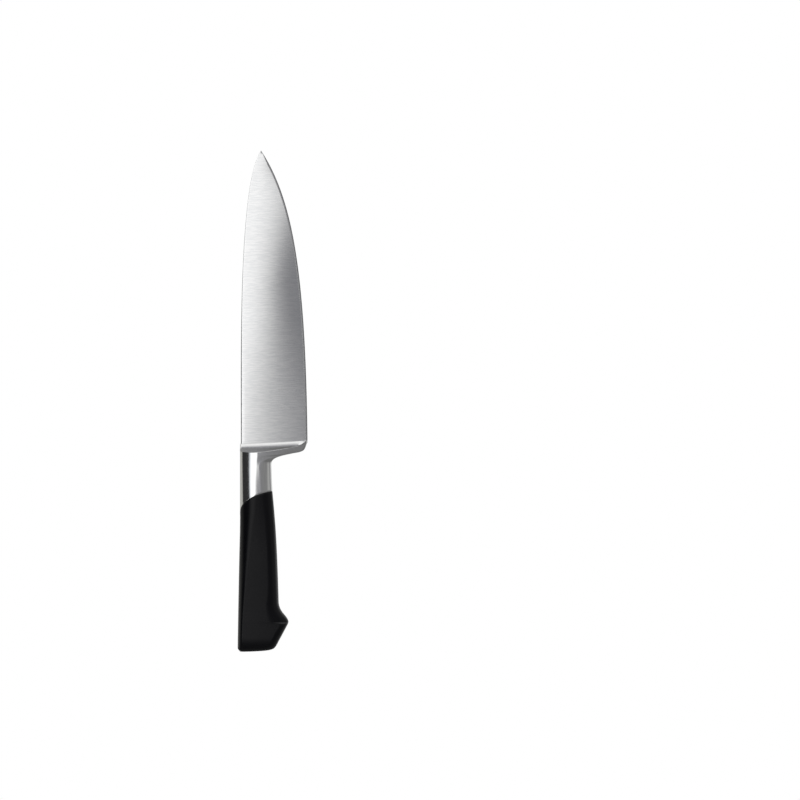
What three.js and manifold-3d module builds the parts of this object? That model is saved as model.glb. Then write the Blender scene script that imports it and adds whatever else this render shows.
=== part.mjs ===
// A chef's knife with a full bolster and a moulded handle, in millimetres.
//
// The knife stands with its point up: +Z runs from the butt to the point, +X from the spine to the
// cutting edge, and Y across its thickness. It is drawn from a datum where the front of the bolster
// crosses the spine, on the knife's middle plane. The last lines move that datum, so that the origin
// is where a magnetic rack holds the blade's +Y side.
//
// The pieces are the blade, the bolster with its neck, the tang inside the handle, the hard core that
// is moulded round the tang, and the grip that is moulded over the core.

import * as THREE from 'three';
import { mergeVertices } from 'three/addons/utils/BufferGeometryUtils.js';
import Module from 'manifold-3d';

const { lerp, clamp, smoothstep } = THREE.MathUtils;

const wasm = await Module();
wasm.setup();

// ---- Driving dimensions ----

const BLADE_LENGTH = 200;          // bolster to point
const HEEL_X = 45.75;              // the edge at the heel
const HEEL_Z = 1.6;                // the bolster's front line rises this far towards the heel
const SPINE_X = -0.1;              // the spine at the bolster
const SPINE_Z = -0.8;              // and the height of the bolster's front line there
const POINT_X = 14.2;              // the point lies this far in from the spine's line
const SPINE_THICKNESS = 3.4;
const POINT_THICKNESS = 0.8;
const SHOULDER_THICKNESS = 0.5;    // where the sharpened bevel starts
const BEVEL_WIDTH = 1;
const SPINE_CHAMFER = 0.4;
const SPINE_TAPER = 1.6;           // how late the spine thins towards the point
const FACE_SWELL = 1.35;           // how convex the side faces are; 1 would be flat

const ROOT_FROM_X = 4;             // the blade's root tongue, set into the bolster
const ROOT_TO_X = 30;
const ROOT_DEPTH = 5;
const ROOT_THICKNESS = 2;

const NECK_BACK_X = -0.3;          // the neck's spine side
const NECK_X = 20.6;               // the neck's belly side, at its slimmest
const JUNCTION_SPINE_Z = -50;      // where the grip starts on the spine
const JUNCTION_BELLY_Z = -32.9;    // where it starts on the belly
const JUNCTION_X = 21.45;          // the belly side there
const JUNCTION_SPINE_ROUND = 8;    // the section there: its roundings and half thicknesses
const JUNCTION_BELLY_ROUND = 10;
const JUNCTION_SPINE_HALF = 7.2;
const JUNCTION_BELLY_HALF = 7.4;
const SQUARENESS = 2.3;            // of every rounded section; 2 would be elliptical
const THICKNESS_BEND = 1.3;        // how late a section's thickness changes across it
const LEVEL_Z = -62;               // below this the handle's sections are level

const BUTT_Z = -142.4;
const BUTT_RISE = 1;               // the butt's flat end rises this far towards the belly
const BUTT_ROUNDING = 5.4;         // the rounding into the butt's end, along Z
const BUTT_INSET = 4;              // and how far it draws each side face in
const BUTT_CORNER = 1.3;           // and the spine's corner in
const BEAK_Z = -122.6;             // the crease above the butt's flat sides
const BEAK_SOFTNESS = 0.7;         // half the crease's height

const GRIP_WALL = 2.6;             // the outer moulding's thickness over the core
const CAVITY_OPENING = 6;          // its cavity's solid reaches this far past its front, to cut it open
const TANG_THICKNESS = 4;
const TANG_FROM_X = 6;
const TANG_TO_X = 16;
const TANG_FRONT_Z = -26;          // the tang's front end, in its slot in the neck
const TANG_BACK_Z = -126;
const TANG_HOLE_RADIUS = 2.5;
const TANG_HOLES_Z = [-62, -88, -114];
const GAP = 0.3;                   // between pieces that touch

const RACK_X = 22.5;               // where a magnetic rack holds the blade's +Y side
const RACK_Y = 0.943;
const RACK_Z = 63.4;

// ---- Outlines, as curves of x and z ----

const bezier = (...points) => new THREE.CubicBezierCurve(...points.map(([x, z]) => new THREE.Vector2(x, z)));

const spineLine = bezier([SPINE_X, SPINE_Z], [0.1, 58], [-1.6, 177], [POINT_X, BLADE_LENGTH]);
const edgeLine = bezier([HEEL_X, HEEL_Z], [44.4, 120], [35.4, 168], [POINT_X, BLADE_LENGTH]);

// The heel's round corner, the sweep under it, and the neck's belly side.
const heelCorner = bezier([45.7, 0.9], [44.2, -6.1], [42.5, -6.2], [37.1, -7.1]);
const heelSweep = bezier([37.1, -7.1], [30.2, -8.6], [20.3, -9], [NECK_X, -16]);

// The handle's belly, the beak at its end, the bevelled corner under the beak and the butt's corner.
const bellyLine = bezier([JUNCTION_X, JUNCTION_BELLY_Z], [23.9, -54], [25, -66], [26.2, -109]);
const beakTop = bezier([26.2, -109], [26.7, -115.5], [31, -117.5], [32.4, -120.7]);
const beakTip = bezier([32.4, -120.7], [33.1, -122.1], [33.1, -122.6], [32.3, -124.3]);
const beakUnder = bezier([32.3, -124.3], [30.2, -128.3], [28.1, -132.2], [26.05, -136]);
const buttCorner = bezier([26.05, -136], [24.3, -139.6], [23.2, -141.2], [20.6, BUTT_Z + BUTT_RISE]);
const handleFront = [bellyLine, beakTop, beakTip, beakUnder, buttCorner];

// x where a curve, which only rises or only falls, passes height z.
function xAt(curve, z) {
  const rises = curve.v3.y > curve.v0.y;
  let low = 0;
  let high = 1;
  for (let i = 0; i < 40; i++) {
    const middle = (low + high) / 2;
    if ((curve.getPoint(middle).y < z) === rises) low = middle;
    else high = middle;
  }
  return curve.getPoint(low).x;
}

// The same for a chain of falling curves.
const chainXAt = (chain, z) => xAt(chain.find((curve) => z >= curve.v3.y) ?? chain.at(-1), z);

// A smooth curve through hand-set values: stations are rows of [z, value, value, ...], z falling.
function between(stations, z) {
  const last = stations.length - 1;
  const i = clamp(stations.findIndex((row) => row[0] <= z), 1, last) - 1;
  const [a, b] = [stations[i], stations[i + 1]];
  const before = stations[Math.max(i - 1, 0)];
  const after = stations[Math.min(i + 2, last)];
  const span = b[0] - a[0];
  const t = clamp((z - a[0]) / span, 0, 1);
  return a.slice(1).map((value, k) => {
    const startSlope = (b[k + 1] - before[k + 1]) / (b[0] - before[0]) * span;
    const endSlope = (after[k + 1] - value) / (after[0] - a[0]) * span;
    const rise = b[k + 1] - value;
    const c = 3 * rise - 2 * startSlope - endSlope;
    const d = startSlope + endSlope - 2 * rise;
    return value + t * (startSlope + t * (c + t * d));
  });
}

// ---- Sections and lofts ----

// Half of a rounded section: [distance from the spine side, half thickness] from one side to the other.
// The spine side is rounded over spineRound, the far side over farRound, and between them the half
// thickness runs from spineHalf to farHalf.
function halfSection(width, spineRound, farRound, spineHalf, farHalf, steps) {
  const points = [];
  const power = 2 / SQUARENESS;
  const turn = (i) => Math.PI / 2 * i / steps;
  const add = (x, fullness) => {
    points.push([x, fullness * lerp(spineHalf, farHalf, (x / width) ** THICKNESS_BEND)]);
  };
  for (let i = 0; i <= steps; i++) {
    add(spineRound * (1 - Math.cos(turn(i)) ** power), Math.sin(turn(i)) ** power);
  }
  const flatWidth = width - spineRound - farRound;
  for (let i = 1; i < steps; i++) add(spineRound + flatWidth * i / steps, 1);
  for (let i = steps; i >= 0; i--) {
    add(width - farRound * (1 - Math.cos(turn(i)) ** power), Math.sin(turn(i)) ** power);
  }
  points[0][1] = 0;
  points.at(-1)[1] = 0;
  return points;
}

// A closed ring of points from half a section: placed(distance) gives each point's x and z.
function ring(half, placed) {
  const front = half.map(([along, thick]) => {
    const [x, z] = placed(along);
    return new THREE.Vector3(x, -thick, z);
  });
  const back = front.slice(1, -1).reverse().map((p) => new THREE.Vector3(p.x, -p.y, p.z));
  return [...front, ...back];
}

// A closed solid through rings that go down in Z. Each end is closed straight across from its front
// to its back, or at a single point, when one is given.
function loft(rings, point = null) {
  const count = rings[0].length;
  const corners = rings.flat();
  const faces = [];
  for (let r = 0; r + 1 < rings.length; r++) {
    for (let i = 0; i < count; i++) {
      const [a, b] = [r * count + i, r * count + (i + 1) % count];
      faces.push(a, a + count, b, b, a + count, b + count);
    }
  }
  const closeEnd = (first, up) => {
    for (let i = 0; i < count / 2; i++) {
      const [a, b] = [first + i, first + i + 1];
      const [d, c] = [first + (count - i) % count, first + count - i - 1];
      const flat = up ? [a, b, c, a, c, d] : [c, b, a, d, c, a];
      if (i === 0) faces.push(...flat.slice(0, 3));
      else if (i === count / 2 - 1) faces.push(...flat.slice(3));
      else faces.push(...flat);
    }
  };
  if (point) {
    corners.push(point);
    for (let i = 0; i < count; i++) faces.push(corners.length - 1, i, (i + 1) % count);
  } else closeEnd(0, true);
  closeEnd((rings.length - 1) * count, false);
  const geometry = new THREE.BufferGeometry().setFromPoints(corners);
  geometry.setIndex(faces);
  return geometry;
}

// ---- Joining and cutting ----

function toSolid(geometry) {
  const bare = geometry.clone();
  bare.deleteAttribute('normal');
  bare.deleteAttribute('uv');
  const merged = mergeVertices(bare, 1e-4);
  return new wasm.Manifold(new wasm.Mesh({
    numProp: 3,
    vertProperties: new Float32Array(merged.attributes.position.array),
    triVerts: new Uint32Array(merged.index.array),
  }));
}

function toGeometry(solid) {
  const mesh = solid.getMesh();
  const geometry = new THREE.BufferGeometry();
  geometry.setAttribute('position', new THREE.BufferAttribute(mesh.vertProperties, 3));
  geometry.setIndex(new THREE.BufferAttribute(mesh.triVerts, 1));
  return geometry;
}

// A box solid between two corners.
function block([x0, y0, z0], [x1, y1, z1]) {
  const geometry = new THREE.BoxGeometry(x1 - x0, y1 - y0, z1 - z0);
  return toSolid(geometry.translate((x0 + x1) / 2, (y0 + y1) / 2, (z0 + z1) / 2));
}

// ---- The blade ----

// The bolster's front line, as a height at a fraction of the blade's width.
const bolsterFront = (across) => lerp(SPINE_Z, HEEL_Z, across);

function bladeThickness(z) {
  return lerp(SPINE_THICKNESS, POINT_THICKNESS, clamp(z / BLADE_LENGTH, 0, 1) ** SPINE_TAPER);
}

// One section of the blade, a fraction of the way from the point to the bolster: a flat spine with
// chamfered corners, side faces that swell a little, and the sharpened bevel.
function bladeRing(down) {
  const heightAt = (across) => lerp(BLADE_LENGTH, bolsterFront(across), down);
  const width = xAt(edgeLine, heightAt(1)) - xAt(spineLine, heightAt(0));
  const bevel = Math.min(BEVEL_WIDTH, 0.35 * width);
  const chamfer = Math.min(SPINE_CHAMFER, 0.1 * width);
  const spineHalf = bladeThickness(heightAt(0)) / 2;
  const edgeHalf = Math.min(SHOULDER_THICKNESS / 2, spineHalf * 0.6);
  const faceWidth = width - bevel;
  const swell = (x) => lerp(spineHalf, edgeHalf, (x / faceWidth) ** FACE_SWELL);
  const face = [0.16, 0.38, 0.82, 1].map((part) => [faceWidth * part, swell(faceWidth * part)]);
  const half = [[0, 0], [0, spineHalf - chamfer], [chamfer, swell(chamfer)], ...face, [width, 0]];
  return ring(half, (along) => {
    const z = heightAt(along / width);
    return [xAt(spineLine, z) * (1 - along / width) + xAt(edgeLine, z) * along / width, z];
  });
}

function makeBlade() {
  const tipSteps = [0.008, 0.02, 0.04, 0.065, 0.1, 0.14, 0.18, 0.23, 0.28, 0.34, 0.4, 0.46, 0.52, 0.58];
  const rings = [...tipSteps, 0.78, 0.86, 0.93, 1].map(bladeRing);
  const body = toSolid(loft(rings, new THREE.Vector3(POINT_X, 0, BLADE_LENGTH)));
  const half = ROOT_THICKNESS / 2;
  return toGeometry(body.add(block([ROOT_FROM_X, -half, -ROOT_DEPTH], [ROOT_TO_X, half, 1.5])));
}

// ---- The bolster and neck ----

// The grip's front line: how far it has risen at a fraction of the neck's width, and its height at x.
const junctionCurl = (across) => (1 - (1 - across) ** 1.3) ** (1 / 2.8);

function junctionZ(x) {
  const across = clamp((x - NECK_BACK_X) / (JUNCTION_X - NECK_BACK_X), 0, 1);
  return lerp(JUNCTION_SPINE_Z, JUNCTION_BELLY_Z, junctionCurl(across));
}

// One ring of the bolster, from the spine at spineZ to a point on its far side. bend says how late the
// ring rises to its far end, and curl, from 0 to 1, how much it follows the grip's front line instead.
function bolsterRing(spineZ, [farX, farZ], bend, curl, spineRound, farRound, spineHalf, farHalf, steps = 6) {
  const backX = lerp(NECK_BACK_X, SPINE_X, smoothstep(spineZ, -7, 0));
  const width = farX - backX;
  return ring(halfSection(width, spineRound, farRound, spineHalf, farHalf, steps), (along) => {
    const across = clamp(along / width, 0, 1);
    const rise = lerp(across ** bend, junctionCurl(across), curl);
    return [backX + along, lerp(spineZ, farZ, rise)];
  });
}

// The section where the neck and the grip meet, moved along Z by shift and drawn in by inset.
function junctionRing(shift, inset = 0, steps = 6) {
  const width = JUNCTION_X - NECK_BACK_X - 2 * inset;
  const roundings = [JUNCTION_SPINE_ROUND - inset, JUNCTION_BELLY_ROUND - inset];
  const halves = [JUNCTION_SPINE_HALF - inset, JUNCTION_BELLY_HALF - inset];
  return ring(halfSection(width, ...roundings, ...halves, steps), (along) => {
    const x = NECK_BACK_X + inset + along;
    return [x, junctionZ(x) + shift];
  });
}

const pointOf = (curve, t) => curve.getPoint(t).toArray();

function bolsterRings() {
  const crest = [
    bolsterRing(SPINE_Z, [HEEL_X, HEEL_Z], 1, 0, 0.6, 0.5, 2.1, 0.7),
    bolsterRing(-3, pointOf(heelCorner, 0), 7, 0, 1, 1, 7.1, 2.6),
    bolsterRing(-5.9, pointOf(heelCorner, 0.2), 5, 0, 5.5, 1.6, 6.4, 2.1),
  ];
  // [spine height, far point, bend, curl, roundings and half thicknesses] down to the grip's front line.
  const flow = [
    [-6.7, pointOf(heelCorner, 0.42), 4, 0, 6.5, 2.4, 6.3, 2.2],
    [-7.6, pointOf(heelCorner, 0.7), 3, 0, 7, 3, 6.2, 2.4],
    [-8.7, pointOf(heelCorner, 1), 2.4, 0, 7.4, 3.6, 6.2, 2.8],
    [-9.8, pointOf(heelSweep, 0.22), 2, 0, 7.7, 4.4, 6.2, 3.3],
    [-11, pointOf(heelSweep, 0.42), 1.7, 0, 7.9, 5.6, 6.2, 4],
    [-12.4, pointOf(heelSweep, 0.62), 1.4, 0, 8, 7, 6.2, 4.9],
    [-14, pointOf(heelSweep, 0.8), 1.2, 0, 8, 8.2, 6.3, 5.7],
    [-16.5, pointOf(heelSweep, 1), 1, 0, 8, 9, 6.4, 6.2],
    [-21, [20.65, -18.5], 1, 0.1, 8, 9.4, 6.6, 6.5],
    [-28, [20.85, -22], 1, 0.35, 8, 9.6, 6.8, 6.8],
    [-38, [21.15, -27.3], 1, 0.7, 8, 9.8, 7, 7.1],
  ];
  return [...crest, ...flow.map((row) => bolsterRing(...row)), junctionRing(GAP / 2)];
}

function makeBolster() {
  const body = toSolid(loft(bolsterRings()));
  const bladeSlotHalf = ROOT_THICKNESS / 2 + GAP;
  const bladeSlot = block(
    [ROOT_FROM_X - GAP, -bladeSlotHalf, -ROOT_DEPTH - GAP],
    [ROOT_TO_X + GAP, bladeSlotHalf, 5],
  );
  return toGeometry(body.subtract(bladeSlot).subtract(tangSolid(GAP)));
}

// ---- The tang ----

// The tang, a flat bar with a round end and three keying holes, or with a clearance, the room it needs.
function tangSolid(clearance) {
  const half = TANG_THICKNESS / 2 + clearance;
  const low = TANG_FROM_X - clearance;
  const high = TANG_TO_X + clearance;
  const radius = (high - low) / 2;
  const outline = new THREE.Shape();
  outline.moveTo(low, TANG_FRONT_Z + clearance);
  outline.lineTo(low, TANG_BACK_Z);
  outline.absarc((low + high) / 2, TANG_BACK_Z, radius, Math.PI, 2 * Math.PI);
  outline.lineTo(high, TANG_FRONT_Z + clearance);
  for (const z of TANG_HOLES_Z) {
    const hole = new THREE.Path();
    hole.absarc((low + high) / 2, z, TANG_HOLE_RADIUS - clearance, 0, 2 * Math.PI);
    outline.holes.push(hole);
  }
  const bar = new THREE.ExtrudeGeometry(outline, { depth: 2 * half, bevelEnabled: false, curveSegments: 10 });
  return toSolid(bar.rotateX(Math.PI / 2).translate(0, half, 0));
}

// ---- The handle ----

// [height, spine rounding, belly rounding, half thickness] down the grip. The rows that are close
// together make the crease above the butt's flat sides.
const gripStations = [
  [-30, 8, 10, 7.4],
  [-52, 7, 10.2, 7.7],
  [-70, 6.2, 10.6, 8.3],
  [-90, 5.6, 10.8, 8.7],
  [-108, 5, 11.6, 8.8],
  [-118, 4.6, 14, 9],
  [BEAK_Z + BEAK_SOFTNESS, 4.4, 15, 9.1],
  [BEAK_Z - BEAK_SOFTNESS, 4.4, 5, 9.1],
  [-129, 4.2, 4.6, 9.2],
  [-142.4, 4, 4.6, 9.3],
];

const gripSpineX = (z) => between([[-30, -0.3], [-54, -0.25], [-80, -0.8], [-108, -1.35], [-142.4, -1.9]], z)[0];

// One ring of the handle, or of what lies inside it by an inset, from a height at the spine to one at
// the belly. heightAt gives its height at any x between them, and end, from 0 to 1, is how far it is
// round into the butt.
function gripRing(spineZ, bellyZ, { heightAt = null, end = 0, inset = 0, steps = 6 } = {}) {
  const turnIn = 1 - Math.sqrt(1 - end ** 2);
  const corner = BUTT_CORNER * smoothstep(end, 0.75, 1) ** 2;
  const low = gripSpineX(spineZ) + inset + corner;
  const width = chainXAt(handleFront, bellyZ) - inset - low;
  const [spineRound, bellyRound, half] = between(gripStations, (spineZ + bellyZ) / 2);
  const rounding = (round) => Math.max(round - inset, 1.5) * Math.min(1, width / 20);
  const thick = half - inset - BUTT_INSET * turnIn;
  const section = halfSection(width, rounding(spineRound), rounding(bellyRound), thick, thick, steps);
  return ring(section, (along) => {
    const x = low + along;
    return [x, heightAt ? heightAt(x) : lerp(spineZ, bellyZ, (along / width) ** 2)];
  });
}

// The handle's outer shape, drawn in by inset, with its front face moved by frontShift.
function handleSolid({ inset = 0, frontShift = 0, backShift = 0, steps = 6 } = {}) {
  const options = { inset, steps };
  const rings = [junctionRing(frontShift, inset, steps)];
  const frontSteps = 5;
  for (let i = 1; i < frontSteps; i++) {
    const heightAt = (x) => lerp(junctionZ(x) + frontShift, LEVEL_Z, i / frontSteps);
    const [spineZ, bellyZ] = [heightAt(NECK_BACK_X + inset), heightAt(JUNCTION_X - inset)];
    rings.push(gripRing(spineZ, bellyZ, { ...options, heightAt }));
  }
  const levels = [LEVEL_Z, -72, -84, -97, -108, -112, -115, -117.5, -119.6, -121];
  const buttLevels = [BEAK_Z + BEAK_SOFTNESS, BEAK_Z - BEAK_SOFTNESS, -124.3, -127, -131.5];
  for (const z of [...levels, ...buttLevels]) {
    if (z > BUTT_Z + BUTT_ROUNDING + backShift) rings.push(gripRing(z, z, options));
  }
  const roundSteps = 6;
  for (let i = 0; i <= roundSteps; i++) {
    const end = Math.sin(Math.PI / 2 * i / roundSteps);
    const spineZ = BUTT_Z + BUTT_ROUNDING * (1 - end) + backShift;
    rings.push(gripRing(spineZ, spineZ + BUTT_RISE, { ...options, end }));
  }
  return toSolid(loft(rings));
}

function makeGrip() {
  const cavity = { inset: GRIP_WALL, frontShift: CAVITY_OPENING, backShift: GRIP_WALL, steps: 3 };
  return toGeometry(handleSolid({ frontShift: -GAP / 2 }).subtract(handleSolid(cavity)));
}

function makeCore() {
  const inside = GRIP_WALL + GAP;
  const core = handleSolid({ inset: inside, frontShift: -GAP / 2, backShift: inside, steps: 3 });
  return toGeometry(core.subtract(tangSolid(GAP)));
}

// ---- The assembly ----

const brushedSteel = { color: 0xb9bbbd, roughness: 0.32, metalness: 1 };
const polishedSteel = { color: 0xd2d3d4, roughness: 0.08, metalness: 1 };
const plainSteel = { color: 0x8f9194, roughness: 0.5, metalness: 1 };
const blackPlastic = { color: 0x131314, roughness: 0.42, metalness: 0 };
const greyPlastic = { color: 0x3c3c3e, roughness: 0.6, metalness: 0 };

const pieces = {
  blade: [makeBlade(), brushedSteel],
  bolster: [makeBolster(), polishedSteel],
  tang: [toGeometry(tangSolid(0)), plainSteel],
  handle_core: [makeCore(), greyPlastic],
  handle_grip: [makeGrip(), blackPlastic],
};

const knife = new THREE.Group();
for (const [name, [geometry, finish]] of Object.entries(pieces)) {
  const mesh = new THREE.Mesh(geometry, new THREE.MeshStandardMaterial(finish));
  mesh.name = name;
  knife.add(mesh);
}
knife.position.set(-RACK_X, -RACK_Y, -RACK_Z);

const group = new THREE.Group();
group.add(knife);

export default group;
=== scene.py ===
import math

import bpy
import numpy as np
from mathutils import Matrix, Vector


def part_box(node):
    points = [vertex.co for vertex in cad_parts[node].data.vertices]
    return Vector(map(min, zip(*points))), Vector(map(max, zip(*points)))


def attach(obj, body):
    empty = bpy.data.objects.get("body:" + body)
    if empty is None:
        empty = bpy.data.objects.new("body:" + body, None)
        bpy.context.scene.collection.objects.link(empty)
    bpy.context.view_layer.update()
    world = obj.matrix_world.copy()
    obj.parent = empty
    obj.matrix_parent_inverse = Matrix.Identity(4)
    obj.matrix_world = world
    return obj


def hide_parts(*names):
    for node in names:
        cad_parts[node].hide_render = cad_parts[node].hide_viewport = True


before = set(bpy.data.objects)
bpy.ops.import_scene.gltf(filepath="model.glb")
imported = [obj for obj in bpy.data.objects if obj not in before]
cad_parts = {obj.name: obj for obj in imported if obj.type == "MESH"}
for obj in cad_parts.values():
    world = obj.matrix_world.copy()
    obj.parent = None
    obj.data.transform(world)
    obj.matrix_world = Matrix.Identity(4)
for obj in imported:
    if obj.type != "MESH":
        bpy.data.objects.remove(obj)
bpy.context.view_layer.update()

# A chef's knife: brushed steel blade, polished bolster and neck, black moulded grip.
# Shapes are drawn in millimetres from the knife's datum, which is on the middle plane close to where
# the bolster's front line crosses the spine, and placed in metres in the frame.
# x goes from the spine to the edge, and z from the butt to the point.

MM = 0.001

# ---- The blade's sizes, in millimetres ----

BLADE_LENGTH = 200                 # of the CAD blade, from the datum to its point
HEEL = (45.94, 1.8)
POINT = (14.05, 200.5)
SPINE_AT_BOLSTER = (-0.1, -0.4)
SPINE_STEP = 0.45                  # how far the bolster stands proud of the blade's spine

SPINE_THICKNESS = 3.4
POINT_THICKNESS = 0.8
SPINE_TAPER = (75, 188)            # the heights between which the spine thins from one to the other
POINT_THINNING = 0.6               # how much of that is left at the very point
TIP_TAPER = (184, 200)             # the heights between which it goes
POINT_SLOPE = 0.03                 # the most that the side faces slope near the point

SHOULDER_THICKNESS = 0.5           # behind the edge bevel
SHOULDER_FROM = 4                  # the blade's width from which that is full; it is half at the point
BEVEL_WIDTH = 1.4
BEVEL_SHARE = 0.14                 # the most of the blade's width that the bevel takes
KEEN_SHARE = 0.5                   # how much of the bevel is its steeper last part
KEEN_HALF = 0.14                   # half the thickness where that starts
KEEN_MOST = 0.55                   # the most of the shoulder's half thickness that it takes

FACE_SWELL = (1.3, 2.1)            # how convex the side faces are, low and high; 1 is flat
SWELL_CHANGE = (10, 120)           # the heights between which that changes

SPINE_EASE = (1.1, 0.7)            # the spine's eased corners, across the side face and the spine
EASE_MOST = 0.6                    # the most of the spine's half thickness that they take
EASE_FROM = 6                      # the blade's width from which they are full
POINT_EASE = 0.35                  # how much of them is left near the point
EASE_FADE = (35, 130)              # the heights between which that goes

TONGUE_DEPTH = 1.5                 # how far the blade goes on inside the bolster
TONGUE_THINNING = 0.9

# ---- The bolster's and neck's sizes, in millimetres ----

NECK_BACK_X = -0.3                 # the neck's spine side
NECK_X = 21.25                     # its belly side, under the heel's sweep
NECK_CROWN = 0.0017                # how fast the side faces fall away from their crown at the bolster
JUNCTION_CROWN = 0.0069            # and where the neck meets the grip
CROWN_CHANGE = 0.7                 # a power: how soon one goes over into the other
CROWN_FROM = 5                     # the crown's distance from the spine side

JUNCTION_X = 21.9                  # the seam with the grip: its belly side, and its two heights
JUNCTION_SPINE_Z = -50
JUNCTION_BELLY_Z = -32.9
JUNCTION_CURL = (1.3, 2.8)         # the powers in the curve of the seam across the side
JUNCTION_SECTION = (11.9, 7.6, 7.2, 7.4)     # spine and belly rounding, spine and belly half thickness

SHOULDER_BULGE = 0.42              # how full the rounded front shoulder is, from its front to its rim
CREST_SOFTNESS = 0.2               # how much of each face the lines beside it round off
LEDGE_DROP = 0.08
NECK_END = 0.6                     # above the junction
NECK_EDGE = 0.12                   # the neck's small eased edge at the seam, along z
NECK_EDGE_INSET = 0.1

# ---- The grip's sizes, in millimetres ----

LEVEL_Z = -62                      # from here down the grip's sections are level
BEAK_Z = -122.6
BUTT_Z = -142.4
BUTT_RISE = 1                      # of the belly side of the butt over its spine side
BUTT_ROUNDING = 10.5
BUTT_INSET = 4
BUTT_CORNER = 1.3                  # how far the butt's spine corner is drawn in
ROUNDING_LEAST = 1.5               # the least rounding of the hollow's sides
ROUNDING_FROM = 20                 # the grip's width from which its sides' rounding is full
GRIP_WALL = 2.6
SEAM = 0.06                        # half the seam between the neck and the grip
SEAM_ROUND = 0.3                   # the grip's rounded lip at the seam

# ---- How finely the pieces are drawn ----

BLADE_RINGS = 150
POINT_CROWDING = 1.7               # a power: how much closer the blade's rings are near the point
CORNER_POINTS = 7
FACE_POINTS = 26
SECTION_STEPS = 18
SQUARENESS = 2.04                  # the power in the curve of a section's sides; 2 is an ellipse
BELLY_TAPER = 1.15                 # a power: how soon a section's thickness turns into its far side's
CREST_STEPS = 4                    # round each line of the bolster's crest
FLOW_STEP = 0.125                  # along the neck, in rows of its table
FRONT_STEPS = 40                   # from the seam to the grip's first level section
BUTT_RINGS = 20
LIP_RINGS = 5
BEAK_SPAN = (-118, -126)           # the heights round the beak, where the grip's rings are closer
RING_GAPS = (0.9, 0.2, 0.8)        # between the grip's rings above the beak, at it and under it
LEAST_GAP = 0.05                   # from the last of them to the butt's first ring

# ---- Where the knife's datum is in the frame ----

blade_low, blade_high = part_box("blade")
bolster_low, bolster_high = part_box("bolster")
DATUM = np.array([
    bolster_low.x - NECK_BACK_X * MM,
    (blade_low.y + blade_high.y) / 2,
    blade_high.z - BLADE_LENGTH * MM,
])


def place(points):
    """Points in millimetres from the datum, as points in the frame."""
    return np.asarray(points, float) * MM + DATUM


# ---- Outlines ----

def bezier(*points):
    """A cubic curve of x and z as two rows of samples."""
    t = np.linspace(0, 1, 400)[:, None]
    a, b, c, d = (np.array(p, float) for p in points)
    return (1 - t) ** 3 * a + 3 * (1 - t) ** 2 * t * b + 3 * (1 - t) * t ** 2 * c + t ** 3 * d


def along(curve, part):
    """The point a part of the way along a curve's parameter."""
    return tuple(np.interp(part, np.linspace(0, 1, len(curve)), curve[:, k]) for k in (0, 1))


def x_at(curve, z):
    """x where a curve that only rises or only falls passes z."""
    xs, zs = curve[:, 0], curve[:, 1]
    if zs[0] > zs[-1]:
        xs, zs = xs[::-1], zs[::-1]
    return float(np.interp(z, zs, xs))


spine_start = (SPINE_AT_BOLSTER[0] + SPINE_STEP, SPINE_AT_BOLSTER[1])
spine_line = bezier(spine_start, (0.45, 58), (-1.5, 177), POINT)
edge_line = bezier(HEEL, (44.65, 120), (35.3, 168), POINT)
heel_corner = bezier((45.88, 0.9), (45.05, -6), (40.75, -6.25), (37.1, -6.85))
heel_sweep = bezier((37.1, -6.85), (30.2, -8.35), (21.4, -9.5), (NECK_X, -13.8))
handle_front = np.concatenate([
    bezier((JUNCTION_X, JUNCTION_BELLY_Z), (23.9, -54), (25, -66), (26.2, -109)),
    bezier((26.2, -109), (26.7, -115.5), (31, -117.5), (32.4, -120.7)),
    bezier((32.4, -120.7), (33.1, -122.1), (33.1, -122.6), (32.3, -124.3)),
    bezier((32.3, -124.3), (30.2, -128.3), (28.1, -132.2), (26.05, -136)),
    bezier((26.05, -136), (24.3, -139.6), (23.2, -141.2), (20.6, BUTT_Z + BUTT_RISE)),
])


def lerp(a, b, t):
    return a + (b - a) * t


def smoothstep(x, low, high):
    t = min(max((x - low) / (high - low), 0), 1)
    return t * t * (3 - 2 * t)


def rounded(start, corner, end, t):
    """A place along the curve from start to end that a corner between them draws aside."""
    return (1 - t) ** 2 * start + 2 * t * (1 - t) * corner + t ** 2 * end


def smooth(a, b, start, end, t):
    """A place along the curve from a to b whose slopes there are start and end."""
    rise = b - a
    return a + t * (start + t * (3 * rise - 2 * start - end + t * (start + end - 2 * rise)))


def through(rows, s):
    """A smooth curve through rows of values, at a place s counted in rows."""
    rows = np.asarray(rows, float)
    last = len(rows) - 1
    i = int(min(max(math.floor(s), 0), last - 1))
    t = s - i
    a, b = rows[i], rows[i + 1]
    start = (b - rows[max(i - 1, 0)]) / (2 if i else 1)
    end = (rows[min(i + 2, last)] - a) / (2 if i + 2 <= last else 1)
    return smooth(a, b, start, end, t)


def between(stations, z):
    """The same through stations of [z, values...] with z falling, at a height z."""
    rows = np.asarray(stations, float)
    last = len(rows) - 1
    i = int(min(max(np.argmax(rows[:, 0] <= z), 1), last)) - 1
    a, b, before, after = rows[i], rows[i + 1], rows[max(i - 1, 0)], rows[min(i + 2, last)]
    span = b[0] - a[0]
    t = min(max((z - a[0]) / span, 0), 1)
    start = (b - before) / (b[0] - before[0]) * span
    end = (after - a) / (after[0] - a[0]) * span
    return smooth(a, b, start, end, t)[1:]


# ---- Sections and lofts ----

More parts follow.
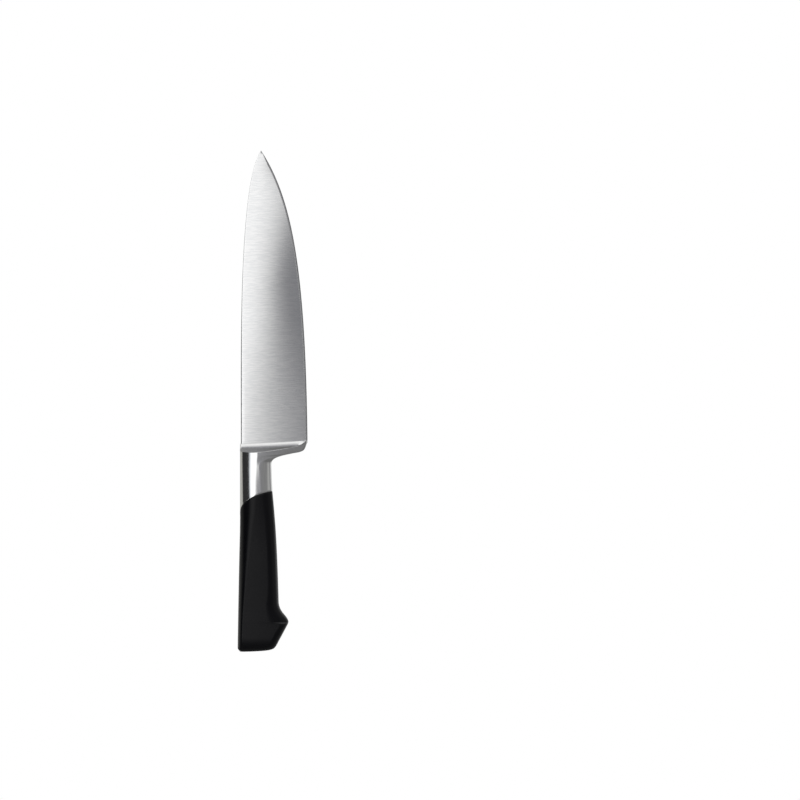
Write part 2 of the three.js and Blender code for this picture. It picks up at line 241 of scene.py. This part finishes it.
def half_section(width, spine_round, far_round, spine_half, far_half, crown=0.0):
    """Half of a rounded section: rows of [distance from the spine side, half thickness]."""
    turn = np.linspace(0, math.pi / 2, SECTION_STEPS + 1)
    power = 2 / SQUARENESS
    rounding = np.abs(1 - np.abs(np.cos(turn)) ** power)
    fullness = np.sin(turn) ** power
    spread = (1 - np.cos(np.linspace(0, math.pi, SECTION_STEPS + 1)[1:-1])) / 2
    flat = lerp(spine_round, width - far_round, spread)
    x = np.concatenate([spine_round * rounding, flat, width - far_round * rounding[::-1]])
    full = np.concatenate([fullness, np.ones(len(flat)), fullness[::-1]])
    taper = np.clip((x - spine_round) / (width - spine_round), 0, 1) ** BELLY_TAPER
    half = full * (lerp(spine_half, far_half, taper) - crown * np.clip(x - CROWN_FROM, 0, None) ** 2)
    half[[0, -1]] = 0
    return np.stack([x, half], 1)


def ring(half, heights, back_x):
    """A closed ring from half a section. heights is each point's z."""
    front = np.stack([back_x + half[:, 0], -half[:, 1], heights], 1)
    back = front[-2:0:-1] * [1, -1, 1]
    return np.concatenate([front, back])


def end_faces(first, count, up):
    """Faces that close an end straight across, from its front to its back."""
    faces = []
    for i in range(count // 2):
        a, b = first + i, first + i + 1
        d, c = first + (count - i) % count, first + count - i - 1
        face = [a, b, c, d]
        if i == 0:
            face = [a, b, c]
        elif i == count // 2 - 1:
            face = [a, b, d]
        faces.append(face if up else face[::-1])
    return faces


def loft_faces(ring_count, count):
    """Quads between rings that go down in z, in order round each ring."""
    faces = []
    for first in range(0, (ring_count - 1) * count, count):
        for i in range(count):
            a, b = first + i, first + (i + 1) % count
            faces.append([a, a + count, b + count, b])
    return faces


def make_piece(name, points, faces, node, materials, sharp_angle, face_materials=None, creases=()):
    """A visual piece. creases are vertex number tests for lines that stay crisp at any angle."""
    placed = place(points)
    mesh = bpy.data.meshes.new(name)
    mesh.from_pydata([tuple(p) for p in placed], [], faces)
    for material in materials:
        mesh.materials.append(material)
    if face_materials is not None:
        mesh.polygons.foreach_set("material_index", face_materials)
    mesh.shade_smooth()
    mesh.set_sharp_from_angle(angle=math.radians(sharp_angle))
    for edge in mesh.edges:
        if any(on_line(edge.vertices[0]) and on_line(edge.vertices[1]) for on_line in creases):
            edge.use_edge_sharp = True
    uv = mesh.uv_layers.new(name="grain")
    corners = np.empty(len(mesh.loops), int)
    mesh.loops.foreach_get("vertex_index", corners)
    uv.data.foreach_set("uv", placed[corners][:, [2, 0]].ravel())
    mesh.update()
    piece = bpy.data.objects.new(name, mesh)
    bpy.context.scene.collection.objects.link(piece)
    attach(piece, "root")
    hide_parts(node)
    return piece


# ---- Materials ----

def add_node(tree, kind, inputs=None, **settings):
    """A new node, with its settings, and its inputs joined to sockets or set to values."""
    node = tree.nodes.new(kind)
    for key, value in settings.items():
        setattr(node, key, value)
    for key, value in (inputs or {}).items():
        if isinstance(value, bpy.types.NodeSocket):
            tree.links.new(value, node.inputs[key])
        else:
            node.inputs[key].default_value = value
    return node


def mapped(add, value, source, result):
    """A value that goes through the result range as another goes through its source range."""
    return add("ShaderNodeMapRange", {
        "Value": value, "From Min": source[0], "From Max": source[1],
        "To Min": result[0], "To Max": result[1],
    }).outputs["Result"]


class Nodes:
    """A material's node tree, with short ways to add and join nodes."""

    def __init__(self, name):
        self.material = bpy.data.materials.new(name)
        self.material.use_nodes = True
        self.tree = self.material.node_tree
        self.shader = self.tree.nodes["Principled BSDF"]

    def add(self, kind, inputs=None, **settings):
        return add_node(self.tree, kind, inputs, **settings)

    def link(self, output, name):
        """The shader's input of this name takes the output."""
        self.tree.links.new(output, self.shader.inputs[name])

    def stretched(self, scale):
        """The frame's coordinates, in metres, stretched by scale."""
        coordinates = self.add("ShaderNodeTexCoord").outputs["Object"]
        return self.add("ShaderNodeMapping", {"Vector": coordinates, "Scale": scale}).outputs["Vector"]

    def noise(self, scale, detail=2.0, roughness=0.5):
        """Noise whose features are 1 / scale metres along each axis."""
        inputs = {"Vector": self.stretched(scale), "Scale": 1.0, "Detail": detail, "Roughness": roughness}
        return self.add("ShaderNodeTexNoise", inputs).outputs["Fac"]

    def range(self, value, low, high, source=(0.25, 0.75)):
        """A value between low and high, as another goes through its source range."""
        return mapped(self.add, value, source, (low, high))

    def maths(self, operation, a, b):
        return self.add("ShaderNodeMath", {0: a, 1: b}, operation=operation).outputs["Value"]

    def colour(self, value, dark, light, source=(0.25, 0.75)):
        """The base colour goes from dark to light as a value goes through its source range."""
        ramp = self.add("ShaderNodeValToRGB", {"Fac": self.range(value, 0, 1, source)})
        ramp.color_ramp.elements[0].color = (*dark, 1)
        ramp.color_ramp.elements[1].color = (*light, 1)
        self.link(ramp.outputs["Color"], "Base Color")

    def bump(self, height, distance, strength=1.0, below=None):
        inputs = {"Height": height, "Distance": distance, "Strength": strength}
        if below is not None:
            inputs["Normal"] = below
        return self.add("ShaderNodeBump", inputs).outputs["Normal"]

    def finish(self, **constants):
        """The material, with the shader inputs that are the same all over set."""
        for name, value in constants.items():
            self.shader.inputs[name.replace("_", " ")].default_value = value
        return self.material


def satin_steel():
    """Fine brushing across the blade's width: short hairlines over longer, fainter streaks."""
    nodes = Nodes("blade_satin")
    lines = nodes.noise((220, 300, 2400), detail=0)
    streaks = nodes.noise((30, 300, 1100), detail=3, roughness=0.65)
    broad = nodes.noise((9, 60, 60), detail=2)
    faint, strong = nodes.maths("MULTIPLY", streaks, 0.06), nodes.maths("MULTIPLY", lines, 0.94)
    brushing = nodes.maths("ADD", faint, strong)
    nodes.colour(brushing, (0.612, 0.617, 0.622), (0.672, 0.672, 0.672), (0.35, 0.65))
    rough, uneven = nodes.range(streaks, 0.177, 0.181), nodes.range(broad, -0.012, 0.012)
    nodes.link(nodes.maths("ADD", rough, uneven), "Roughness")
    nodes.link(nodes.bump(lines, 0.00001, 0.085, nodes.bump(streaks, 0.00002, 0.04)), "Normal")
    grain = nodes.add("ShaderNodeTangent", direction_type="UV_MAP", uv_map="grain")
    nodes.link(grain.outputs["Tangent"], "Tangent")
    return nodes.finish(Metallic=1.0, Anisotropic=0.96)


def honed_steel(name, dark, light):
    """Stoned steel with fine marks: the eased spine, the sharpened bevel and its keen edge. The keen
    edge's copy is made much darker: painted shade, a dark line standing in for the dark its steep edge
    reflects.
    """
    nodes = Nodes(name)
    marks = nodes.noise((60, 400, 5000), detail=3)
    nodes.colour(marks, (dark, dark, dark + 0.005), (light, light, light))
    nodes.link(nodes.range(marks, 0.22, 0.3), "Roughness")
    nodes.link(nodes.bump(marks, 0.00001, 0.3), "Normal")
    return nodes.finish(Metallic=1.0)


def polished_steel():
    """Mirror polish with a very slight waviness and hairline polishing marks."""
    nodes = Nodes("bolster_polish")
    wave = nodes.noise((90, 90, 45), detail=1)
    hairlines = nodes.noise((2500, 2500, 120), detail=3)
    nodes.colour(hairlines, (0.7, 0.7, 0.7), (0.78, 0.78, 0.775))
    nodes.link(nodes.range(hairlines, 0.13, 0.19), "Roughness")
    nodes.link(nodes.bump(hairlines, 0.000004, 0.2, nodes.bump(wave, 0.0003, 0.12)), "Normal")
    return nodes.finish(Metallic=1.0)


def black_plastic():
    """Satin black moulding: a fine sparked texture over a broad, faint cloud."""
    nodes = Nodes("grip_black")
    grain = nodes.noise((5200, 5200, 5200), detail=2, roughness=0.6)
    cloud = nodes.noise((55, 55, 35), detail=3)
    nodes.colour(cloud, (0.0022, 0.0022, 0.0034), (0.0032, 0.0032, 0.0046))
    broad, fine = nodes.range(cloud, 0.28, 0.33), nodes.range(grain, -0.03, 0.03)
    nodes.link(nodes.maths("ADD", broad, fine), "Roughness")
    nodes.link(nodes.bump(grain, 0.00003, 0.35), "Normal")
    return nodes.finish(Metallic=0.0, Specular_IOR_Level=0.18)


def plain_steel():
    """The tang's unfinished steel, with an uneven, thin scale."""
    nodes = Nodes("tang_steel")
    scale = nodes.noise((300, 300, 300), detail=5)
    nodes.colour(scale, (0.32, 0.32, 0.33), (0.46, 0.46, 0.46))
    nodes.link(nodes.range(scale, 0.42, 0.6), "Roughness")
    nodes.link(nodes.bump(scale, 0.00004, 0.5), "Normal")
    return nodes.finish(Metallic=1.0)


def core_plastic():
    """The core's plain dark plastic."""
    nodes = Nodes("core_plastic")
    flow = nodes.noise((120, 120, 40), detail=3)
    nodes.colour(flow, (0.035, 0.035, 0.037), (0.05, 0.05, 0.052))
    nodes.link(nodes.range(flow, 0.5, 0.62), "Roughness")
    nodes.link(nodes.bump(flow, 0.00005, 0.3), "Normal")
    return nodes.finish(Metallic=0.0)


# ---- The blade ----

BRUSHED, HONED, SHADED_EDGE = range(3)    # the places of its materials in their list; the keen edge's steel is painted darker, a painted shade line


def blade_half(width, spine_half, edge_half, bevel, ease, swelling):
    """Half of the blade's section: rows of [distance from the spine, half thickness]."""
    ease_x, ease_y = ease
    face_width = width - bevel

    def swell(x):
        return lerp(spine_half, edge_half, np.clip(x / face_width, 0, 1) ** swelling)

    turn = np.linspace(0, math.pi / 2, CORNER_POINTS)
    corner_x = ease_x * (1 - np.cos(turn))
    corner = np.stack([corner_x, swell(corner_x) - ease_y * (1 - np.sin(turn))], 1)
    face_x = np.linspace(ease_x, face_width, FACE_POINTS)[1:]
    face = np.stack([face_x, swell(face_x)], 1)
    keen_x = width - KEEN_SHARE * bevel
    keen_half = min(KEEN_HALF, KEEN_MOST * edge_half)
    sharpened = np.array([
        [(face_width + keen_x) / 2, (edge_half + keen_half) / 2],
        [keen_x, keen_half],
        [width, 0],
    ])
    middle = np.array([[0, 0], [0, corner[0, 1] / 2]])
    return np.concatenate([middle, corner, face, sharpened])


def blade_ring(down):
    """One section, a fraction of the way from the point to the bolster's slanted front line."""
    low_spine, low_edge = SPINE_AT_BOLSTER[1], HEEL[1]
    spine_z, edge_z = lerp(POINT[1], low_spine, down), lerp(POINT[1], low_edge, down)
    width = x_at(edge_line, edge_z) - x_at(spine_line, spine_z)
    spine_half = lerp(SPINE_THICKNESS, POINT_THICKNESS, smoothstep(spine_z, *SPINE_TAPER)) / 2
    spine_half *= lerp(1, POINT_THINNING, smoothstep(spine_z, *TIP_TAPER))
    edge_half = SHOULDER_THICKNESS / 2 * lerp(0.5, 1, min(1, width / SHOULDER_FROM))
    spine_half = min(spine_half, edge_half + POINT_SLOPE * width)
    fit = min(1, width / EASE_FROM) * lerp(1, POINT_EASE, smoothstep(spine_z, *EASE_FADE))
    ease = (SPINE_EASE[0] * fit, min(SPINE_EASE[1], spine_half * EASE_MOST) * fit)
    bevel = min(BEVEL_WIDTH, BEVEL_SHARE * width)
    swelling = lerp(*FACE_SWELL, smoothstep(spine_z, *SWELL_CHANGE))
    half = blade_half(width, spine_half, edge_half, bevel, ease, swelling)
    across = half[:, 0] / width
    z = lerp(spine_z, edge_z, across)
    half[:, 0] = [lerp(x_at(spine_line, h), x_at(edge_line, h), a) for h, a in zip(z, across)]
    return ring(half, z, 0)


def make_blade(materials):
    """The blade, ending just inside the bolster's front lip."""
    rings = [blade_ring((i / BLADE_RINGS) ** POINT_CROWDING) for i in range(1, BLADE_RINGS + 1)]
    rings.append(rings[-1] * [1, TONGUE_THINNING, 1] - [0, 0, TONGUE_DEPTH])
    count = len(rings[0])
    points = np.concatenate(rings + [np.array([[POINT[0], 0, POINT[1]]])])
    faces = loft_faces(len(rings), count)
    tip = len(points) - 1
    faces += [[tip, i, (i + 1) % count] for i in range(count)]
    end = end_faces((len(rings) - 1) * count, count, up=False)
    half_count = count // 2
    honed_from, eased_to = half_count - 3, CORNER_POINTS + 1

    def finish_of(segment):
        mirrored = min(segment, count - 1 - segment)
        if mirrored == half_count - 1:
            return SHADED_EDGE
        return HONED if mirrored >= honed_from or mirrored < eased_to else BRUSHED

    def bevel_line(line):
        return lambda vertex: vertex < tip and vertex % count == line

    finishes = [finish_of(segment) for segment in range(count)]
    face_materials = finishes * len(rings) + [BRUSHED] * len(end)
    lines = (honed_from, half_count - 1, half_count + 1, count - honed_from)
    creases = [bevel_line(line) for line in lines]
    return make_piece(
        "knife_blade", points, faces + end, "blade", materials, 30, face_materials, creases
    )


# ---- The bolster and neck ----

def junction_curl(across):
    """How far the seam has risen, from 0 to 1, a part of the way across the side."""
    far, near = JUNCTION_CURL
    return (1 - (1 - np.clip(across, 0, 1)) ** far) ** (1 / near)


def junction_z(x):
    """The seam's height at x."""
    across = (np.asarray(x) - NECK_BACK_X) / (JUNCTION_X - NECK_BACK_X)
    return lerp(JUNCTION_SPINE_Z, JUNCTION_BELLY_Z, junction_curl(across))


def junction_ring(shift, inset=0.0):
    """The section where the neck and the grip meet, moved along z and drawn in by inset."""
    width = JUNCTION_X - NECK_BACK_X - 2 * inset
    half = half_section(width, *(size - inset for size in JUNCTION_SECTION), JUNCTION_CROWN)
    x = NECK_BACK_X + inset + half[:, 0]
    return ring(half, junction_z(x) + shift, NECK_BACK_X + inset)


# The lines across the bolster's side: its front at the blade, its rim, and the crease under the rim.
front_line = bezier(SPINE_AT_BOLSTER, (15, 0), (30, 0.65), HEEL)
rim_line = np.concatenate([
    bezier((-0.1, -3.05), (14, -3.1), (27, -2.6), (38, -2)),
    bezier((38, -2), (41, -1.65), (43, -0.35), (44.6, 1.35)),
    bezier((44.6, 1.35), (44.95, 1.6), (45.4, 1.7), (45.93, 1.72)),
])
crease_line = np.concatenate([
    bezier((-0.3, -5.4), (10, -7.6), (16, -6), (36, -2.85)),
    bezier((36, -2.85), (41.5, -1.9), (43.5, -0.8), along(heel_corner, 0.02)),
])


def line_ring(line, spine_round, far_round, spine_half, far_half):
    """A ring of the bolster whose points lie on one of its lines, seen from the side."""
    back_x, width = line[0, 0], line[-1, 0] - line[0, 0]
    half = half_section(width, spine_round, far_round, spine_half, far_half)
    return ring(half, np.interp(back_x + half[:, 0], line[:, 0], line[:, 1]), back_x)


# Below the crease: rows of [spine z, far x, far z, bend, curl, spine and far rounding, spine and far
# half thickness]. The spine side is the neck's column all the way up. The ring's line across the
# side goes from a curve with the power bend, where curl is 0, to the seam's curve, where it is 1.
NECK_ROWS = [
    (-6.5, *along(heel_corner, 0.36), 3, 0, 12.2, 2, 6.4, 2.15),
    (-7.4, *along(heel_corner, 0.66), 2.6, 0, 12.2, 2.8, 6.4, 2.4),
    (-8.6, *along(heel_corner, 1), 2.2, 0, 12.3, 3.4, 6.4, 2.9),
    (-9.8, *along(heel_sweep, 0.22), 1.9, 0, 12.3, 4.2, 6.4, 3.4),
    (-11.1, *along(heel_sweep, 0.42), 1.6, 0, 12.2, 5.2, 6.4, 4.1),
    (-12.5, *along(heel_sweep, 0.62), 1.4, 0, 12.1, 6.4, 6.45, 4.9),
    (-14.2, *along(heel_sweep, 0.8), 1.2, 0, 12, 7.6, 6.45, 5.7),
    (-16.6, *along(heel_sweep, 1), 1, 0, 11.9, 8.2, 6.5, 6.3),
    (-21, 21.3, -18.5, 1, 0.1, 11.8, 8.2, 6.6, 6.55),
    (-28, 21.4, -22, 1, 0.35, 11.7, 8, 6.8, 6.8),
    (-38, 21.6, -27.3, 1, 0.7, 11.8, 7.8, 7, 7.1),
    (JUNCTION_SPINE_Z, JUNCTION_X, JUNCTION_BELLY_Z, 1, 1, *JUNCTION_SECTION),
]


def neck_ring(spine_z, far_x, far_z, bend, curl, *section):
    """A ring of the neck from a row of the table."""
    width = far_x - NECK_BACK_X
    crown = (NECK_X / width) ** 3 * lerp(NECK_CROWN, JUNCTION_CROWN, curl ** CROWN_CHANGE)
    half = half_section(width, *section, crown)
    across = np.clip(half[:, 0] / width, 0, 1)
    rise = lerp(across ** bend, junction_curl(across), curl)
    return ring(half, lerp(spine_z, far_z, rise), NECK_BACK_X)


def straight_path(keys, softness):
    """Rings straight from key to key, with each key's corner rounded over a part of the way.

    They end with the rounding of the last but one.
    """
    rings = [keys[0]]
    for before, key, after in zip(keys, keys[1:], keys[2:]):
        start, end = lerp(key, before, softness), lerp(key, after, softness)
        for t in np.linspace(0, 1, CREST_STEPS + 1):
            rings.append(rounded(start, key, end, t))
    return rings


def make_bolster(material):
    """The full bolster and neck, from its front at the blade to the seam with the grip."""
    # The numbers after a line are the rounding of its spine and far sides, and its half thicknesses.
    inner = line_ring(front_line, 0.6, 0.5, 2.1, 0.7)
    top = line_ring(front_line, 0.7, 0.6, 5.75, 1.3)
    bulges = [line_ring(line, 0.7, 0.8, 6.86, 2.2) for line in (front_line, rim_line)]
    bulge = lerp(*bulges, SHOULDER_BULGE)
    rim = line_ring(rim_line, 0.7, 1, 7.25, 2.6)
    shoulder = [rounded(top, bulge, rim, t) for t in (0.25, 0.5, 0.75)]
    under = line_ring(crease_line, 0.7, 1.1, 6.75, 2.15)
    ledge = line_ring(crease_line, 12.2, 1.3, 6.45, 2.0) - [0, 0, LEDGE_DROP]
    neck = [neck_ring(*row) for row in NECK_ROWS]
    crest = straight_path([inner, top, *shoulder, rim, under, ledge, neck[0]], CREST_SOFTNESS)
    keys = np.array([ledge] + neck)
    flow = [through(keys, s) for s in np.arange(2 * FLOW_STEP, len(keys) - 1, FLOW_STEP)]
    end = [junction_ring(s) for s in (NECK_END, SEAM + NECK_EDGE)]
    lip = junction_ring(SEAM, NECK_EDGE_INSET)
    rings = crest + flow + end + [lip]
    count = len(rings[0])
    faces = loft_faces(len(rings), count)
    faces += end_faces(0, count, up=True)
    faces += end_faces((len(rings) - 1) * count, count, up=False)
    points = np.concatenate(rings)
    return make_piece("knife_bolster", points, faces, "bolster", [material], 40)


# ---- The grip ----

# Rows of [z, spine and belly rounding, half thickness, crown], and of [z, the spine side's x].
GRIP_STATIONS = [
    (-30, 11.9, 7.6, 7.5, JUNCTION_CROWN),
    (-45, 11.3, 6.9, 7.65, 0.005),
    (-60, 8.9, 6.6, 8.05, 0.003),
    (-73, 7.6, 6.4, 8.4, 0.0016),
    (-87, 6.4, 6.6, 8.7, 0.0014),
    (-101, 5.4, 7, 8.8, 0.0012),
    (-114, 4.4, 9.4, 8.9, 0.001),
    (BEAK_Z + 0.7, 4, 13, 9.1, 0.001),
    (BEAK_Z - 0.7, 4, 6, 9.1, 0.0012),
    (-129, 3.8, 5.6, 9.2, 0.001),
    (-142.4, 3.6, 5.6, 9.3, 0.001),
]
SPINE_STATIONS = [(-30, -0.3), (-54, -0.25), (-80, -0.8), (-108, -1.35), (-142.4, -1.9)]


def grip_ring(spine_z, belly_z, height_at=None, end=0.0, inset=0.0):
    """One ring of the grip, or of its hollow by an inset. end is how far it is round into the butt."""
    turn_in = 1 - math.sqrt(1 - end ** 2)
    corner = BUTT_CORNER * smoothstep(end, 0.75, 1) ** 2
    spine_round, belly_round, half_thickness, crown = between(GRIP_STATIONS, (spine_z + belly_z) / 2)
    low = between(SPINE_STATIONS, spine_z)[0] + inset + corner
    width = x_at(handle_front, belly_z) - inset - low

    def rounding(size):
        return max(size - inset, ROUNDING_LEAST) * min(1, width / ROUNDING_FROM)

    thick = half_thickness - inset - BUTT_INSET * turn_in
    half = half_section(width, rounding(spine_round), rounding(belly_round), thick, thick, crown)
    x = low + half[:, 0]
    z = height_at(x) if height_at else lerp(spine_z, belly_z, (half[:, 0] / width) ** 2)
    return ring(half, z, low)


def handle_rings(inset, front_shift, back_shift):
    """Rings from the grip's front line down to its butt, or its hollow's by an inset."""
    rings = [junction_ring(front_shift, inset)]
    for i in range(1, FRONT_STEPS):
        def height_at(x, i=i):
            return lerp(junction_z(x) + front_shift, LEVEL_Z, i / FRONT_STEPS)

        spine_z, belly_z = height_at(NECK_BACK_X + inset), height_at(JUNCTION_X - inset)
        rings.append(grip_ring(spine_z, belly_z, height_at, inset=inset))
    floor_z = BUTT_Z + BUTT_ROUNDING + back_shift
    spans = ((LEVEL_Z, BEAK_SPAN[0]), BEAK_SPAN, (BEAK_SPAN[1], floor_z))
    levels = np.concatenate([np.arange(high, low, -gap) for (high, low), gap in zip(spans, RING_GAPS)])
    rings += [grip_ring(z, z, inset=inset) for z in levels if z > floor_z + LEAST_GAP]
    for end in np.sin(np.linspace(0, math.pi / 2, BUTT_RINGS)):
        spine_z = BUTT_Z + BUTT_ROUNDING * (1 - end) + back_shift
        rings.append(grip_ring(spine_z, spine_z + BUTT_RISE * end, end=min(end, 1), inset=inset))
    return rings


def make_grip(material):
    """The outer moulding, hollow for the core, with a small rounded lip at the seam."""
    outer = handle_rings(0, -SEAM, 0)
    lips = []
    for turn in np.linspace(0, math.pi / 2, LIP_RINGS)[:-1]:
        inset = SEAM_ROUND * (1 - math.sin(turn))
        drop = SEAM_ROUND * (1 - math.cos(turn))
        lips.append(junction_ring(-SEAM - drop, inset))
    lips.append(junction_ring(-SEAM - SEAM_ROUND))
    inner = handle_rings(GRIP_WALL, -SEAM, GRIP_WALL)
    outer = lips + outer[1:]
    count = len(outer[0])
    faces = loft_faces(len(outer), count)
    faces += end_faces((len(outer) - 1) * count, count, up=False)
    base = len(outer) * count
    inner_faces = loft_faces(len(inner), count)
    inner_faces += end_faces((len(inner) - 1) * count, count, up=False)
    faces += [[base + v for v in face[::-1]] for face in inner_faces]
    # The rim at the seam, from the lip to the hollow.
    for i in range(count):
        j = (i + 1) % count
        faces.append([i, j, base + j, base + i])
    points = np.concatenate(outer + inner)
    return make_piece("knife_grip", points, faces, "handle_grip", [material], 50)


# ---- Camera, world and floor ----

# In metres, and from the datum.
CAMERA_AIM = (0.1093, 0, 0.0295)
CAMERA_DISTANCE = 1.6
VIEW_WIDTH = 0.548
SENSOR_WIDTH = 36
FLOOR_CENTRE = (0.02, 0, -0.4)
FLOOR_RADIUS = 0.58
FLOOR_SOLID = 0.45                 # how much of the floor's radius is solid before it fades out


def make_camera():
    """Straight at the knife's flat side, a little to its right, as far off as a long lens stands."""
    data = bpy.data.cameras.new("camera")
    data.sensor_width = SENSOR_WIDTH
    data.lens = SENSOR_WIDTH * CAMERA_DISTANCE / VIEW_WIDTH
    data.clip_end = 50
    camera = bpy.data.objects.new("camera", data)
    camera.location = DATUM + CAMERA_AIM - [0, CAMERA_DISTANCE, 0]
    camera.rotation_euler = (math.pi / 2, 0, 0)
    bpy.context.scene.collection.objects.link(camera)
    bpy.context.scene.camera = camera


def make_floor():
    """A pale round floor well below the hanging knife, fading out at its rim."""
    turn = np.linspace(0, 2 * math.pi, 96, endpoint=False)
    centre = DATUM + FLOOR_CENTRE
    points = [centre + FLOOR_RADIUS * np.array([math.cos(a), math.sin(a), 0]) for a in turn]
    mesh = bpy.data.meshes.new("floor")
    mesh.from_pydata([tuple(p) for p in points], [], [list(range(len(turn)))])
    nodes = Nodes("floor_pale")
    cloud = nodes.noise((14, 14, 14), detail=4)
    nodes.colour(cloud, (0.86, 0.86, 0.855), (0.9, 0.9, 0.9))
    here = nodes.add("ShaderNodeTexCoord").outputs["Object"]
    away = nodes.add("ShaderNodeVectorMath", {0: here, 1: tuple(centre)}, operation="DISTANCE")
    fading = (FLOOR_SOLID * FLOOR_RADIUS, FLOOR_RADIUS)
    nodes.link(nodes.range(away.outputs["Value"], 1.0, 0.0, fading), "Alpha")
    mesh.materials.append(nodes.finish(Roughness=0.7))
    floor = bpy.data.objects.new("floor", mesh)
    bpy.context.scene.collection.objects.link(floor)
    floor.visible_glossy = False


# Degrees to the right of the camera, seen from the knife, and how bright the studio is there.
STUDIO_TONES = [
    (-180, (0.5, 0.5, 0.48)),
    (-89, (0.55, 0.545, 0.51)),
    (-84, (0.035, 0.035, 0.035)),
    (-34, (0.03, 0.03, 0.03)),
    (-29, (1.1, 1.14, 1.2)),
    (-22, (1.5, 1.5, 1.5)),
    (-2.2, (1.5, 1.5, 1.5)),
    (-1.1, (1.15, 1.15, 1.15)),
    (-0.5, (0.94, 0.94, 0.94)),
    (0.55, (0.96, 0.96, 0.96)),
    (1, (0.6, 0.6, 0.61)),
    (1.8, (0.36, 0.36, 0.374)),
    (2.6, (0.28, 0.28, 0.295)),
    (3.5, (0.24, 0.24, 0.256)),
    (7, (0.35, 0.353, 0.377)),
    (12, (0.26, 0.26, 0.268)),
    (42, (0.26, 0.26, 0.26)),
    (62, (0.26, 0.26, 0.26)),
    (80, (0.48, 0.48, 0.47)),
    (92, (0.4, 0.4, 0.4)),
    (104, (0.28, 0.28, 0.28)),
    (116, (0.35, 0.35, 0.35)),
    (128, (0.85, 0.85, 0.85)),
    (180, (0.6, 0.6, 0.58)),
]
CEILING_TONE = (1.1, 1.1, 1.1, 1)
CEILING_FROM = (0.5, 0.8)          # how steeply up one looks where it starts, and where it is full
GROUND_FROM = (-0.15, -0.42)
GROUND_TONE = (0.19, 0.5)          # further out, and right below
GROUND_CHANGE = (-0.85, -1.0)


def make_world():
    """A pale studio as a dome: a large soft light in front on the left, dark beyond it, grey elsewhere.

    The camera itself sees plain white behind the knife.
    """
    world = bpy.data.worlds.new("studio")
    world.use_nodes = True
    tree = world.node_tree
    tree.nodes.clear()

    def add(kind, inputs=None, **settings):
        return add_node(tree, kind, inputs, **settings)

    def mixed(part, a, b):
        """Two colours mixed by a part from 0 to 1."""
        return add("ShaderNodeMix", {0: part, 6: a, 7: b}, data_type="RGBA").outputs[2]

    direction = add("ShaderNodeTexCoord").outputs["Generated"]
    parts = add("ShaderNodeSeparateXYZ", {0: direction}).outputs
    ahead = add("ShaderNodeMath", {0: parts["Y"], 1: -1.0}, operation="MULTIPLY").outputs[0]
    angle = add("ShaderNodeMath", {0: parts["X"], 1: ahead}, operation="ARCTAN2").outputs[0]
    ramp = add("ShaderNodeValToRGB", {"Fac": mapped(add, angle, (-math.pi, math.pi), (0.0, 1.0))})
    elements = ramp.color_ramp.elements
    while len(elements) < len(STUDIO_TONES):
        elements.new(0.5)
    for element, (degrees, tone) in zip(elements, STUDIO_TONES):
        element.position = (degrees + 180) / 360
        element.color = (*tone, 1)
    above = mapped(add, parts["Z"], CEILING_FROM, (0.0, 1.0))
    below = mapped(add, parts["Z"], GROUND_FROM, (0.0, 1.0))
    ground_tone = mapped(add, parts["Z"], GROUND_CHANGE, GROUND_TONE)
    around = mixed(below, mixed(above, ramp.outputs["Color"], CEILING_TONE), ground_tone)
    studio = add("ShaderNodeBackground", {"Color": around, "Strength": 1.0})
    white = add("ShaderNodeBackground", {"Color": (1, 1, 1, 1), "Strength": 1.0})
    seen = add("ShaderNodeLightPath").outputs["Is Camera Ray"]
    shown = add("ShaderNodeMixShader", {0: seen, 1: studio.outputs[0], 2: white.outputs[0]})
    add("ShaderNodeOutputWorld", {"Surface": shown.outputs[0]})
    bpy.context.scene.world = world


make_camera()
make_world()
make_floor()

steel = satin_steel()
honed = honed_steel("blade_honed", 0.72, 0.86)
# The keen edge's copy is much darker than the bevel's: painted shade, a dark line along the edge.
keen = honed_steel("blade_edge_painted_shade", 0.37, 0.48)
make_blade([steel, honed, keen])
make_bolster(polished_steel())
make_grip(black_plastic())
for node, material in (("tang", plain_steel()), ("handle_core", core_plastic())):
    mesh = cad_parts[node].data
    mesh.materials.clear()
    mesh.materials.append(material)

bpy.context.scene.view_settings.view_transform = "Standard"
